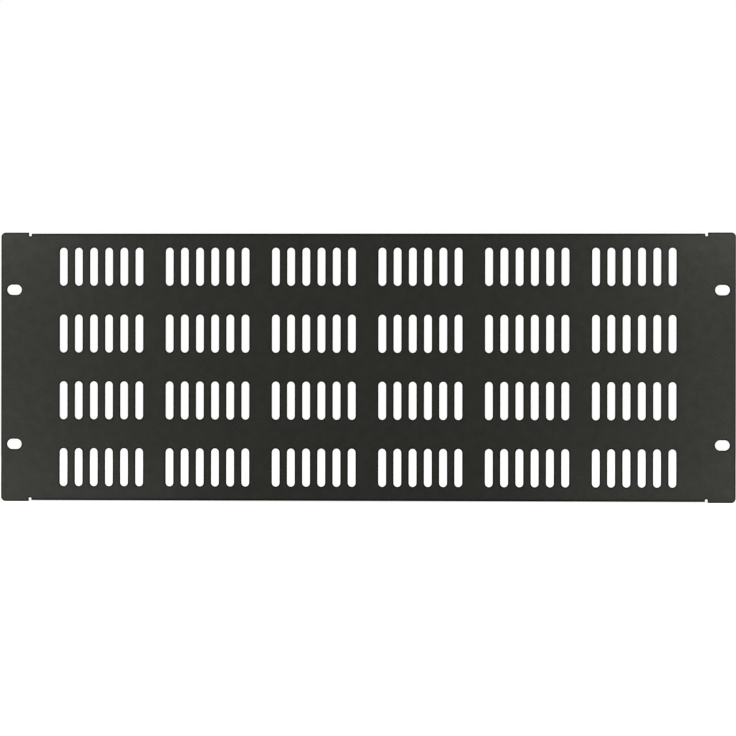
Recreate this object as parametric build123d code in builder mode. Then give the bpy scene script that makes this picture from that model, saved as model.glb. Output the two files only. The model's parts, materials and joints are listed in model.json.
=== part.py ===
from build123d import *
from math import cos, pi
import os

# Vented blanking panel for a 19 inch rack: one steel sheet, punched flat, then folded back along
# its top and bottom edges. All sizes are in millimetres.
# +X is to the right seen from the front, +Y goes back into the rack and +Z is up. The origin is
# the centre of the four rack slots, on the sheet's back face, which lies against the rack's rails.

# Rack grid
rack_unit = 44.45
units_high = 4
unit_clearance = 0.8  # taken off the whole units, so that stacked panels don't rub

# Sheet
sheet_thickness = 1.2
panel_width = 482.6
ear_corner_radius = 3.0

# Folds
panel_depth = 15.0  # from the front face to the flanges' free edges
bend_radius = 0.5  # on the inside of the fold
flange_step = 0.6  # the flanges lie this much nearer the middle than the ears' edges
ear_width = 18.3  # the flat ends, beyond the bend reliefs
relief_width = 1.7
relief_corner_radius = 0.5
relief_past_bend = 0.1  # the relief's floor lies this much beyond the start of the bend

# Rack slots, long enough sideways to take up the spread of the rack's rails
rack_slot_length = 9.6
rack_slot_width = 6.7
rack_slot_from_side = 8.75  # from the slot's centre to the panel's side edge
rack_slot_from_unit_edge = 38.1  # from the slot's centre to the outer edge of the whole units

# Vents, upright slots in groups, with one row of groups to each rack unit
vent_length = 25.0
vent_width = 5.0
vent_end_flats = 7  # a vent's half-round end is this many short flats, within 0.07 of the arc
vent_web = 5.0  # metal between neighbouring vents
vents_in_group = 6
group_web = 15.0  # metal between neighbouring groups
vent_margin = 10.0  # from the outer vents' ends to the ears' top and bottom edges

# Sheet and folds worked out
panel_height = units_high * rack_unit - unit_clearance
flange_length = panel_width - 2 * (ear_width + relief_width)
flange_top = panel_height / 2 - flange_step
flange_edge = panel_depth - sheet_thickness
outer_bend_radius = bend_radius + sheet_thickness
bend_start = flange_top - outer_bend_radius
folded_strip = panel_height / 2 - bend_start
relief_depth = folded_strip + relief_past_bend
relief_spacing = flange_length + relief_width

# Rack slots worked out
rack_slot_spacing_x = panel_width - 2 * rack_slot_from_side
rack_slot_spacing_z = units_high * rack_unit - 2 * rack_slot_from_unit_edge

# Vents worked out
vent_end_sides = 2 * vent_end_flats
vent_end_reach = vent_width / 2 * cos(pi / vent_end_sides)
vent_rows = units_high
vent_pitch = vent_width + vent_web
group_width = vents_in_group * vent_pitch - vent_web
group_pitch = group_width + group_web
groups = int((flange_length + group_web) // group_pitch)
row_pitch = (panel_height - 2 * vent_margin - vent_length) / max(vent_rows - 1, 1)

with BuildSketch() as vent_outline:
    with GridLocations(0, vent_length - 2 * vent_end_reach, 1, 2):
        RegularPolygon(vent_width / 2, vent_end_sides)
    make_hull()

with BuildPart() as vented_panel:
    # The punched sheet: full height at the ears and cut back to the bends between them, with a slot
    # near each corner for the rack's screws, and the vents
    with BuildSketch(Plane.XZ) as punched_sheet:
        Rectangle(panel_width, panel_height)
        fillet(punched_sheet.vertices(), ear_corner_radius)
        with GridLocations(0, panel_height, 1, 2):
            Rectangle(relief_spacing, 2 * folded_strip, mode=Mode.SUBTRACT)
        with GridLocations(rack_slot_spacing_x, rack_slot_spacing_z, 2, 2):
            SlotOverall(rack_slot_length, rack_slot_width, mode=Mode.SUBTRACT)
        with GridLocations(group_pitch, row_pitch, groups, vent_rows):
            with GridLocations(vent_pitch, 0, vents_in_group, 1):
                add(vent_outline.sketch, mode=Mode.SUBTRACT)
    extrude(amount=sheet_thickness)

    # The folds: each edge of the web bends back through a right angle into a flange
    with BuildSketch(Plane.YZ) as fold_section:
        with BuildLine() as fold_line:
            bend = JernArc((-sheet_thickness, bend_start), (0, 1), outer_bend_radius, -90)
            Line(bend @ 1, (flange_edge, flange_top))
            offset(amount=sheet_thickness, side=Side.RIGHT)
        make_face()
        mirror(about=Plane.XZ)
    extrude(amount=relief_spacing / 2, both=True)

    # The bend reliefs, punched between the ears and the ends of the folds
    with BuildSketch(Plane.XZ) as reliefs:
        with GridLocations(relief_spacing, panel_height, 2, 2):
            RectangleRounded(relief_width, 2 * relief_depth, relief_corner_radius)
    extrude(amount=panel_depth, both=True, mode=Mode.SUBTRACT)

vented_panel.part.label = "vented_panel"
os.makedirs("parts", exist_ok=True)
export_step(vented_panel.part, "parts/vented_panel.step")
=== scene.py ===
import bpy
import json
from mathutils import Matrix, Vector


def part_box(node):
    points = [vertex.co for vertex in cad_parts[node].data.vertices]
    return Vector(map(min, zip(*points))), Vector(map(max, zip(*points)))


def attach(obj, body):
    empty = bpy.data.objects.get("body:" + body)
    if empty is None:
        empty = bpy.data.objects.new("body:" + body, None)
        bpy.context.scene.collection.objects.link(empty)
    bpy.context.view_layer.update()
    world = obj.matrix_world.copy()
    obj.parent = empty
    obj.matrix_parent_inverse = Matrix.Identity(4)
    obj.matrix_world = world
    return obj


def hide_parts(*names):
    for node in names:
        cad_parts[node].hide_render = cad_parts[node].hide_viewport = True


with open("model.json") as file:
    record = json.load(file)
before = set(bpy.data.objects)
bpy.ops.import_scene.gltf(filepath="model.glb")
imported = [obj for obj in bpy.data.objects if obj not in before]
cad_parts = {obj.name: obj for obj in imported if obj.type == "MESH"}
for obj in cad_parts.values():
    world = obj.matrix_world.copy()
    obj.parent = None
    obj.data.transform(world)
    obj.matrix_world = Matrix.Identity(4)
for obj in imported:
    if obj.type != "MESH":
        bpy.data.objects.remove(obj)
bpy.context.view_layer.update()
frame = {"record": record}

import json
from math import cos, pi, sin

import bmesh
import bpy
import numpy as np
from mathutils import Vector, geometry

# A vented blanking panel for an equipment rack: one steel sheet, punched, folded back along its
# top and bottom edges and powder coated. Lengths are in metres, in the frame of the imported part:
# X to the right seen from the front, Y back into the rack and Z up.

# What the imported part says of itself
lowest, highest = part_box("vented_panel")
slot_pattern = frame["record"]["mounts"][0]["dims"]
PANEL_WIDTH = highest.x - lowest.x
PANEL_HEIGHT = highest.z - lowest.z
PANEL_DEPTH = highest.y - lowest.y
SHEET = -lowest.y
RACK_SLOT_LENGTH = slot_pattern["slot_length_mm"] / 1000
RACK_SLOT_WIDTH = 2 * slot_pattern["hole_r_mm"] / 1000
RACK_SLOT_SPACING = (slot_pattern["spacing_x_mm"] / 1000, slot_pattern["spacing_y_mm"] / 1000)

# Folds
BEND_RADIUS = 0.0005
FLANGE_STEP = 0.0006
EAR_WIDTH = 0.0183
RELIEF_WIDTH = 0.0017
RELIEF_CORNER = 0.0005
RELIEF_PAST_BEND = 0.0001
BEND_STEPS = 10
NEUTRAL_SHARE = 0.4  # of the sheet, from the inside of the bend to the layer that keeps its length

# Corners of the sheet, seen from the front
EAR_CORNER = 0.003
SMALL_CORNER = 0.0004
CORNER_STEPS = 10

# Vents
VENT_LENGTH = 0.025
VENT_WIDTH = 0.005
VENT_PITCH = 0.010
VENTS_IN_GROUP = 6
GROUP_PITCH = 0.070
GROUPS = 6
VENT_ROWS = 4
VENT_MARGIN = 0.010
VENT_CAP_STEPS = 13
RACK_SLOT_CAP_STEPS = 18

# The coat's soft edge, where the front and back faces turn into a punched wall, and the lines on
# the flat beside it, which hold the painted shade that darkens the band along each edge
EDGE_ROUND = 0.00025
EDGE_STEPS = 4
# Width of the painted shade band along punched edges and fold crests
EDGE_SHADE_WIDTH = 0.0016
EDGE_SHADE_LINES = EDGE_SHADE_WIDTH * np.array((1.0, 0.7, 0.45, 0.2))
TIGHTEST_CORNER = 0.00005
CREST_SHARE = 0.75  # of the way round the bend, to the line that the painted shade is darkest along

# The rows of points along the bends. Those beside a relief's round floor stop a little short.
ROW_POINTS = 45
ROW_SHORTFALL = 0.0002
RELIEF_REACH = 1.2 * RELIEF_CORNER  # up from the relief's floor, past its round corners

# How the flat faces are joined up: the triangulation keeps what lies inside the outline
INSIDE_OUTLINE = 1
TOUCHING = 1e-9
MERGE_DISTANCE = 2e-6

# The coat's plain colours, and the dark of the painted shade along edges and fold crests
COAT_DARK = (0.0188, 0.0192, 0.0160)
COAT_PALE = (0.0344, 0.0352, 0.0310)
# Painted shade: the dark that edges and fold crests are blended towards, standing in for their
# shade
PAINTED_EDGE_SHADE = (0.0080, 0.0082, 0.0072)

# The coat's unevenness, in humps to the metre and as a share of the step from dark to pale
CLOUD_SCALE = 150
CLOUD_SHARE = 0.75
GRAIN_SCALE = 900
GRAIN_SHARE = 1.0
SPECK_SCALE = 2400
SPECK_SHARE = 0.6

# The coat's gloss, which is rougher at the rims, and the height of its grain
RIM_ROUGHNESS = 0.92
INNER_SMOOTHING = 0.4
GRAIN_ROUGHENING = 0.12
COAT_GLOSS = 0.06
COAT_IOR = 1.5
GRAIN_HEIGHT = 0.00012
GRAIN_STRENGTH = 0.6
GRAIN_IN_RELIEF = 0.6

# Folds, reliefs and flat blank, worked out
OUTER_BEND = BEND_RADIUS + SHEET
BEND_START = PANEL_HEIGHT / 2 - FLANGE_STEP - OUTER_BEND
BEND_RUN = pi / 2 * (BEND_RADIUS + NEUTRAL_SHARE * SHEET)
FLANGE_RUN = PANEL_DEPTH - OUTER_BEND
EAR_INNER = PANEL_WIDTH / 2 - EAR_WIDTH
FLANGE_END = EAR_INNER - RELIEF_WIDTH
BLANK_EDGE = BEND_START + BEND_RUN + FLANGE_RUN
RELIEF_FLOOR = BEND_START - RELIEF_PAST_BEND
RELIEF_TOP = RELIEF_FLOOR + RELIEF_REACH


def fold(across, along, depth):
    """Places on the flat blank, brought to where the folded sheet has them.

    across is measured over the panel's width and along over its height, both from the middle, and
    depth goes into the sheet from its front face. Up to the bend the sheet is flat. Along the bend
    the turn grows evenly with the distance, about a centre inside the fold, at the outer radius
    less the depth. Past it the flange runs straight back. The ears aren't folded.
    """
    folded = np.abs(across) < EAR_INNER - RELIEF_WIDTH / 2
    height = np.abs(along)
    turn = np.clip((height - BEND_START) / BEND_RUN, 0, 1) * (pi / 2) * folded
    past = np.maximum(height - BEND_START - BEND_RUN, 0) * folded
    radius = OUTER_BEND - depth
    back = BEND_RADIUS - radius * np.cos(turn) + past
    up = np.where(folded, np.minimum(height, BEND_START), height) + radius * np.sin(turn)
    return np.stack([across, back, np.sign(along) * up], axis=-1)


def inset_rings(corners, radii, insets):
    """Rings at several distances in from a closed outline with rounded corners, anticlockwise.

    At each corner the normal turns evenly from one side's to the other's, and the point lies on
    the arc that touches both inset sides. An outer corner's radius shrinks by the inset, down to
    the tightest corner, and an inner corner's grows by it. A corner with no radius, in line with
    its neighbours, gives one point.
    """
    side = np.roll(corners, -1, axis=0) - corners
    side /= np.linalg.norm(side, axis=1, keepdims=True)
    leaving = np.stack([side[:, 1], -side[:, 0]], axis=1)
    arriving = np.roll(leaving, 1, axis=0)
    first = np.arctan2(arriving[:, 1], arriving[:, 0])
    turn = np.arctan2(
        arriving[:, 0] * leaving[:, 1] - arriving[:, 1] * leaving[:, 0],
        (arriving * leaving).sum(axis=1),
    )
    angle = first[:, None] + turn[:, None] * np.linspace(0, 1, CORNER_STEPS + 1)
    normal = np.stack([np.cos(angle), np.sin(angle)], axis=-1)[:, :, None]
    mitre = (arriving + leaving) / (1 + (arriving * leaving).sum(axis=1, keepdims=True))
    mitre = mitre[:, None, None]
    sign = np.sign(turn)[:, None] * (radii > 0)[:, None]
    reach = sign * np.maximum(radii[:, None] - sign * insets, TIGHTEST_CORNER)
    moved_in = corners[:, None, None] - insets[:, None] * mitre
    point = moved_in + reach[:, None, :, None] * (normal - mitre)
    kept = np.ones(point.shape[:2], bool)
    kept[radii == 0, 1:] = False
    return point[kept]


def blank_rings(insets):
    """Rings in from the flat blank's outline: round ears, bend reliefs and the flanges' ends.

    One quarter is listed from the ear to the flange and mirrored into the other three. Along the
    flange's end it has a point on each line across the flange that reaches it.
    """
    bend_lines = np.array([line for line in fold_lines() if line > RELIEF_TOP])
    quarter = np.array(
        [
            (PANEL_WIDTH / 2, PANEL_HEIGHT / 2),
            (EAR_INNER, PANEL_HEIGHT / 2),
            (EAR_INNER, RELIEF_FLOOR),
            (FLANGE_END, RELIEF_FLOOR),
            *[(FLANGE_END, line) for line in bend_lines],
            (FLANGE_END, BLANK_EDGE),
        ]
    )
    radii = np.array(
        [EAR_CORNER, SMALL_CORNER, RELIEF_CORNER, RELIEF_CORNER, *(0 * bend_lines), SMALL_CORNER]
    )
    corners = np.concatenate(
        [quarter, quarter[::-1] * (-1, 1), quarter * (-1, -1), quarter[::-1] * (1, -1)]
    )
    rounding = np.concatenate([radii, radii[::-1], radii, radii[::-1]])
    return inset_rings(corners, rounding, insets)[None]


def slot_rings(insets, centres, length, width, upright, cap_steps):
    """Rings at several distances out from the walls of equal slots, clockwise.

    Each is two half circles, about points on the slot's long axis, joined by straight sides: the
    angle runs once round, and the half circle's centre changes over halfway.
    """
    half_turn = np.linspace(0, pi, cap_steps + 1)
    angle = -np.append(half_turn, half_turn + pi)[:, None]
    cap = np.repeat([-1, 1], cap_steps + 1)[:, None] * (length - width) / 2
    radius = width / 2 + insets
    ring = np.stack([radius * np.cos(angle), cap + radius * np.sin(angle)], axis=-1)
    if not upright:
        ring = ring[..., ::-1] * (1, -1)
    return centres[:, None, None] + ring


def vent_centres():
    """Centres of the vents: a row of groups in each rack unit, evenly spaced about the middle."""
    row_pitch = (PANEL_HEIGHT - 2 * VENT_MARGIN - VENT_LENGTH) / (VENT_ROWS - 1)
    in_group = (np.arange(VENTS_IN_GROUP) - (VENTS_IN_GROUP - 1) / 2) * VENT_PITCH
    group = (np.arange(GROUPS) - (GROUPS - 1) / 2) * GROUP_PITCH
    row = (np.arange(VENT_ROWS) - (VENT_ROWS - 1) / 2) * row_pitch
    across, along = np.meshgrid((group[:, None] + in_group).ravel(), row)
    return np.stack([across.ravel(), along.ravel()], axis=1)


def rack_slot_centres():
    """Centres of the four rack slots, one near each corner."""
    across, along = np.meshgrid((-0.5, 0.5), (-0.5, 0.5))
    return np.stack([across.ravel(), along.ravel()], axis=1) * RACK_SLOT_SPACING


def fold_lines():
    """How far up the blank each line lies that runs along a bend or close beside it."""
    bend = BEND_START + BEND_RUN * np.linspace(0, 1, BEND_STEPS + 1)
    beside = np.array([EDGE_ROUND, EDGE_SHADE_WIDTH])
    return np.concatenate([bend[0] - beside[::-1], bend, bend[-1] + beside])


def crest_distance(places):
    """Distance of each place on the blank's face from a fold's crest, up to the painted shade
    band's width, for the painted shade along the crest.
    """
    height = np.abs(places[:, 1])
    folded = np.abs(places[:, 0]) < FLANGE_END
    from_crest = np.abs(height - BEND_START - CREST_SHARE * BEND_RUN)
    return np.where(folded, np.minimum(from_crest, EDGE_SHADE_WIDTH), EDGE_SHADE_WIDTH)


def edge_profile():
    """Distance in from the outline, and depth, of each line of the edge from front to back.

    The rim's lines on the flat, a quarter round down to the punched wall, and the same up to the
    back face.
    """
    turn = np.linspace(0, pi / 2, EDGE_STEPS + 1)
    inset = np.append(EDGE_SHADE_LINES, EDGE_ROUND * (1 - np.sin(turn)))
    depth = np.append(0 * EDGE_SHADE_LINES, EDGE_ROUND * (1 - np.cos(turn)))
    return np.append(inset, inset[::-1]), np.append(depth, (SHEET - depth)[::-1])


def edge_band(rings):
    """Rings of the edge profile round closed outlines, folded, and the quads between them."""
    inset, depth = edge_profile()
    placed = fold(rings[..., 0], rings[..., 1], np.broadcast_to(depth, rings.shape[:-1]))
    index = np.arange(placed[..., 0].size).reshape(placed.shape[:-1])
    following = np.roll(index, -1, axis=-2)
    quads = np.stack(
        [index[..., :-1], index[..., 1:], following[..., 1:], following[..., :-1]], axis=-1
    )
    distance = np.broadcast_to(inset, index.shape)
    return placed.reshape(-1, 3), quads.reshape(-1, 4), distance.ravel()


def ring_links(first, count):
    """Pairs of neighbours round a ring of points."""
    index = np.arange(count)
    return np.stack([first + index, first + (index + 1) % count], axis=1)


def flat_face(rings):
    """The blank's flat face between the outlines' rims, as points and anticlockwise triangles.

    The rims' inner rings and the lines of the bends are joined up by a constrained triangulation,
    and the triangles inside a slot are dropped: all three of their points lie on its ring.
    """
    rows = fold_lines()
    short = np.where(rows > RELIEF_TOP, 0, ROW_SHORTFALL)
    across = np.linspace(-1, 1, ROW_POINTS) * (FLANGE_END - EDGE_SHADE_WIDTH - short)[:, None]
    line = np.stack([across, np.broadcast_to(rows[:, None], across.shape)], axis=-1)
    lines = np.concatenate([line, line * (1, -1)])
    count = [len(ring) for ring in rings]
    starts = np.cumsum([0, *count])
    links = [ring_links(start, size) for start, size in zip(starts, count)]
    node = starts[-1] + np.arange(lines[..., 0].size).reshape(lines.shape[:2])
    links.append(np.stack([node[:, :-1], node[:, 1:]], axis=-1).reshape(-1, 2))
    points = np.concatenate([*rings, lines.reshape(-1, 2)])
    owner = np.append(np.repeat(np.arange(len(rings)), count), np.zeros(lines[..., 0].size, int))
    links = np.concatenate(links).tolist()
    vertices, _, faces, origins = geometry.delaunay_2d_cdt(
        points.tolist(), links, [], INSIDE_OUTLINE, TOUCHING
    )[:4]
    places = np.array([tuple(vertex) for vertex in vertices])
    triangles = np.array(faces)
    came_from = np.array([origin[0] for origin in origins])
    ring = owner[came_from][triangles]
    in_slot = (ring[:, 0] > 0) & (ring == ring[:, :1]).all(axis=1)
    triangles = triangles[~in_slot]
    a, b, c = (places[triangles[:, k]] for k in range(3))
    area = (b[:, 0] - a[:, 0]) * (c[:, 1] - a[:, 1]) - (b[:, 1] - a[:, 1]) * (c[:, 0] - a[:, 0])
    triangles[area < 0] = triangles[area < 0][:, ::-1]
    return places, triangles


def folded_sheet():
    """The whole sheet: an edge band round every outline, and the flat face on both sides.

    Each point keeps its distance from the nearest cut or folded edge, up to the shade band's width,
    for the painted shade that darkens the coat along edges and fold crests.
    """
    insets = edge_profile()[0]
    vents = slot_rings(insets, vent_centres(), VENT_LENGTH, VENT_WIDTH, True, VENT_CAP_STEPS)
    rack_slots = slot_rings(
        insets, rack_slot_centres(), RACK_SLOT_LENGTH, RACK_SLOT_WIDTH, False, RACK_SLOT_CAP_STEPS
    )
    outlines = [blank_rings(insets), vents, rack_slots]
    places, triangles = flat_face([ring[:, 0] for rings in outlines for ring in rings])
    patches = [edge_band(rings) for rings in outlines]
    for depth, faces in ((0.0, triangles), (SHEET, triangles[:, ::-1])):
        level = np.full(len(places), depth)
        patches.append((fold(*places.T, level), faces, crest_distance(places)))
    firsts = np.cumsum([0] + [len(patch[0]) for patch in patches])
    faces = [face for first, patch in zip(firsts, patches) for face in (patch[1] + first).tolist()]
    mesh = bpy.data.meshes.new("folded_sheet")
    mesh.from_pydata(np.concatenate([patch[0] for patch in patches]).tolist(), [], faces)
    # Distance that drives the painted shade along edges and fold crests
    distance = mesh.attributes.new("edge_distance", "FLOAT", "POINT")
    distance.data.foreach_set("value", np.concatenate([patch[2] for patch in patches]).astype("f4"))
    shell = bmesh.new()
    shell.from_mesh(mesh)
    bmesh.ops.remove_doubles(shell, verts=shell.verts, dist=MERGE_DISTANCE)
    shell.to_mesh(mesh)
    shell.free()
    mesh.shade_smooth()
    piece = bpy.data.objects.new("folded_sheet", mesh)
    bpy.context.scene.collection.objects.link(piece)
    return piece


class Wire:
    """A number or colour on a shader socket.

    Adding, subtracting or multiplying numbers adds its Math node, and | takes the larger one.
    """

    def __init__(self, finish, socket):
        self.finish = finish
        self.socket = socket

    def combine(self, operation, first, second):
        return self.finish.add("ShaderNodeMath", {"operation": operation}, {0: first, 1: second})

    def __add__(self, other):
        return self.combine("ADD", self, other)

    __radd__ = __add__

    def __sub__(self, other):
        return self.combine("SUBTRACT", self, other)

    def __rsub__(self, other):
        return self.combine("SUBTRACT", other, self)

    def __mul__(self, other):
        return self.combine("MULTIPLY", self, other)

    __rmul__ = __mul__

    def __or__(self, other):
        return self.combine("MAXIMUM", self, other)


class Finish:
    """The node tree of a material or of the world, whose nodes all come from one method."""

    def __init__(self, owner):
        self.owner = owner
        owner.use_nodes = True
        self.tree = owner.node_tree
        self.tree.nodes.clear()

    def add(self, kind, settings=None, sockets=None, output=0):
        """Adds a node: its settings first, then the values or links of its sockets."""
        node = self.tree.nodes.new(kind)
        for name, value in (settings or {}).items():
            setattr(node, name, value)
        for name, value in (sockets or {}).items():
            if isinstance(value, Wire):
                self.tree.links.new(value.socket, node.inputs[name])
            else:
                node.inputs[name].default_value = value
        return Wire(self, node.outputs[output]) if node.outputs else None

    def noise(self, place, scale, detail):
        """Soft noise about 0, with that many humps to the metre and finer ones on them."""
        sockets = {"Vector": place, "Scale": scale, "Detail": detail, "Roughness": 0.5}
        return self.add("ShaderNodeTexNoise", sockets=sockets) - 0.5

    def blend(self, share, first, second):
        """A colour that goes from the first to the second as share goes from 0 to 1.

        The Mix node takes the two colours at sockets 6 and 7 and gives the blend at output 2.
        """
        first, second = (end if isinstance(end, Wire) else (*end, 1) for end in (first, second))
        sockets = {"Factor": share, 6: first, 7: second}
        return self.add("ShaderNodeMix", {"data_type": "RGBA"}, sockets, output=2)


def powder_coat():
    """Near-black powder coat with a fine even grain, soft clouds of tone and a low sheen.

    The coat goes from dark to pale with the sum of clouds, grain and specks. Towards each punched
    edge and each fold's crest it turns rougher, and darker with painted shade, as a smooth step of
    the distance.
    """
    coat = Finish(bpy.data.materials.new("powder_coat"))
    place = coat.add("ShaderNodeTexCoord", output="Object")
    distance = coat.add("ShaderNodeAttribute", {"attribute_name": "edge_distance"}, output="Fac")
    inner = coat.add(
        "ShaderNodeMapRange",
        {"interpolation_type": "SMOOTHSTEP"},
        {"Value": distance, "From Max": EDGE_SHADE_WIDTH},
    )
    cloud = coat.noise(place, CLOUD_SCALE, detail=3)
    grain = coat.noise(place, GRAIN_SCALE, detail=2)
    speck = coat.noise(place, SPECK_SCALE, detail=1)
    paleness = 0.5 + CLOUD_SHARE * cloud + GRAIN_SHARE * grain + SPECK_SHARE * speck
    # Painted shade: near each punched edge and fold crest the colour blends towards a dark that
    # stands in for shade
    colour = coat.blend(inner, PAINTED_EDGE_SHADE, coat.blend(paleness, COAT_DARK, COAT_PALE))
    height = GRAIN_IN_RELIEF * grain + (1 - GRAIN_IN_RELIEF) * speck
    bump = {"Strength": GRAIN_STRENGTH, "Distance": GRAIN_HEIGHT, "Height": height}
    relief = coat.add("ShaderNodeBump", sockets=bump)
    shader = coat.add(
        "ShaderNodeBsdfPrincipled",
        sockets={
            "Base Color": colour,
            "Roughness": RIM_ROUGHNESS + GRAIN_ROUGHENING * grain - INNER_SMOOTHING * inner,
            "IOR": COAT_IOR,
            "Specular IOR Level": COAT_GLOSS,
            "Normal": relief,
        },
    )
    coat.add("ShaderNodeOutputMaterial", sockets={"Surface": shader})
    return coat.owner


panel = folded_sheet()
panel.data.materials.append(powder_coat())
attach(panel, "root")
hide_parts("vented_panel")

# White floor and surroundings
FLOOR_SIZE = 12.0
FLOOR_COLOUR = (0.5, 0.5, 0.5, 1)
WHITE = (1, 1, 1, 1)
WHITE_LIFT = 0.82  # what the floor needs on top of its own light to look white
AMBIENT = 0.12


def seen_directly(finish):
    """1 where the camera looks, also by way of a mirroring or clear surface, and else 0."""
    camera_ray = finish.add("ShaderNodeLightPath", output="Is Camera Ray")
    glossy_ray = finish.add("ShaderNodeLightPath", output="Is Glossy Ray")
    through_ray = finish.add("ShaderNodeLightPath", output="Is Transmission Ray")
    return camera_ray | glossy_ray | through_ray


def pale_floor():
    """A square floor under the panel, white to look at, that still takes the panel's shadow."""
    finish = Finish(bpy.data.materials.new("pale_floor"))
    lit = finish.add("ShaderNodeBsdfDiffuse", sockets={"Color": FLOOR_COLOUR})
    strength = WHITE_LIFT * seen_directly(finish)
    lift = finish.add("ShaderNodeEmission", sockets={"Strength": strength})
    both = finish.add("ShaderNodeAddShader", sockets={0: lit, 1: lift})
    finish.add("ShaderNodeOutputMaterial", sockets={"Surface": both})
    half = FLOOR_SIZE / 2
    outline = ((-half, -half), (half, -half), (half, half), (-half, half))
    corners = [(across, back, lowest.z) for across, back in outline]
    mesh = bpy.data.meshes.new("floor")
    mesh.from_pydata(corners, [], [(0, 1, 2, 3)])
    mesh.materials.append(finish.owner)
    floor = bpy.data.objects.new("floor", mesh)
    bpy.context.scene.collection.objects.link(floor)
    return floor


def surroundings():
    """White all round to look at, and a dim even light on everything."""
    world = bpy.data.worlds.new("surroundings")
    bpy.context.scene.world = world
    finish = Finish(world)
    strength = AMBIENT + (1 - AMBIENT) * seen_directly(finish)
    light = finish.add("ShaderNodeBackground", sockets={"Color": WHITE, "Strength": strength})
    finish.add("ShaderNodeOutputWorld", sockets={"Surface": light})


pale_floor()
surroundings()


def soft_lamp(name, place, target, size, power):
    """A rectangular lamp that faces its target, level along its width, and that no camera sees."""
    light = bpy.data.lights.new(name, "AREA")
    light.shape = "RECTANGLE"
    light.size, light.size_y = size
    light.energy = power
    lamp = bpy.data.objects.new(name, light)
    lamp.location = place
    lamp.rotation_euler = (Vector(target) - Vector(place)).to_track_quat("-Z", "Y").to_euler()
    lamp.visible_camera = False
    bpy.context.scene.collection.objects.link(lamp)


def lamp_pair(name, place, target, size, powers):
    """Two lamps that mirror each other left and right, each with its own power."""
    for side_name, side, power in (("left", -1, powers[0]), ("right", 1, powers[1])):
        mirror = np.array((side, 1, 1))
        soft_lamp(f"{name}_{side_name}", mirror * place, mirror * target, size, power)


def high_light(elevation, strength, softness):
    """Even light from high in front, which lays the panel's shadow on the floor behind it."""
    light = bpy.data.lights.new("high_light", "SUN")
    light.energy = strength
    light.angle = softness
    lamp = bpy.data.objects.new("high_light", light)
    beam = Vector((0, cos(elevation), -sin(elevation)))
    lamp.rotation_euler = beam.to_track_quat("-Z", "Y").to_euler()
    bpy.context.scene.collection.objects.link(lamp)


# In front: even light from high up, low lamps far out to the sides, small ones near the corners,
# and strips close to the top and bottom edges. Behind: a pair for the hidden side. Places and
# sizes are in metres, powers in watts and angles in radians.
EAR_MIDDLE = (0.23, 0, 0)
high_light(elevation=1.13, strength=0.83, softness=0.2)
lamp_pair(
    "side_lamp",
    place=(0.70, -0.35, -0.04),
    target=EAR_MIDDLE,
    size=(0.08, 0.08),
    powers=(3.09, 2.32),
)
lamp_pair(
    "upper_lamp",
    place=(0.26, -0.06, 0.14),
    target=EAR_MIDDLE,
    size=(0.06, 0.06),
    powers=(0.103, 0.133),
)
lamp_pair(
    "lower_lamp",
    place=(0.29, -0.10, -0.065),
    target=EAR_MIDDLE,
    size=(0.03, 0.03),
    powers=(0.046, 0.055),
)
soft_lamp("top_strip", place=(0, -0.07, 0.13), target=(0, 0, 0.07), size=(0.5, 0.03), power=0.028)
lamp_pair(
    "low_strip",
    place=(0.22, -0.03, -0.08),
    target=(0.22, 0, -0.084),
    size=(0.2, 0.01),
    powers=(0.008, 0.006),
)
lamp_pair(
    "back_lamp",
    place=(0.6, 0.7, 0.0),
    target=(0.1, 0, 0),
    size=(0.2, 0.2),
    powers=(3.2, 3.2),
)

# The camera stands straight in front, a touch to the right of the panel's middle. Its turns are in
# radians, and its lens and sensor in millimetres.
CAMERA_DISTANCE = 1.6412
CAMERA_TURN = 0.0287
CAMERA_TILT = 0.0003
CAMERA_ROLL = 0.0014
CAMERA_AIM = Vector((0.00065, lowest.y, -0.00046))
CAMERA_LENS = 122.28
CAMERA_SENSOR = 36

camera_data = bpy.data.cameras.new("camera")
camera_data.lens = CAMERA_LENS
camera_data.sensor_width = CAMERA_SENSOR
camera = bpy.data.objects.new("camera", camera_data)
camera.rotation_euler = (pi / 2 + CAMERA_TILT, -CAMERA_ROLL, CAMERA_TURN)
towards_camera = camera.rotation_euler.to_matrix() @ Vector((0, 0, 1))
camera.location = CAMERA_AIM + CAMERA_DISTANCE * towards_camera
bpy.context.scene.collection.objects.link(camera)
bpy.context.scene.camera = camera
bpy.context.scene.view_settings.view_transform = "Standard"

bpy.context.view_layer.update()
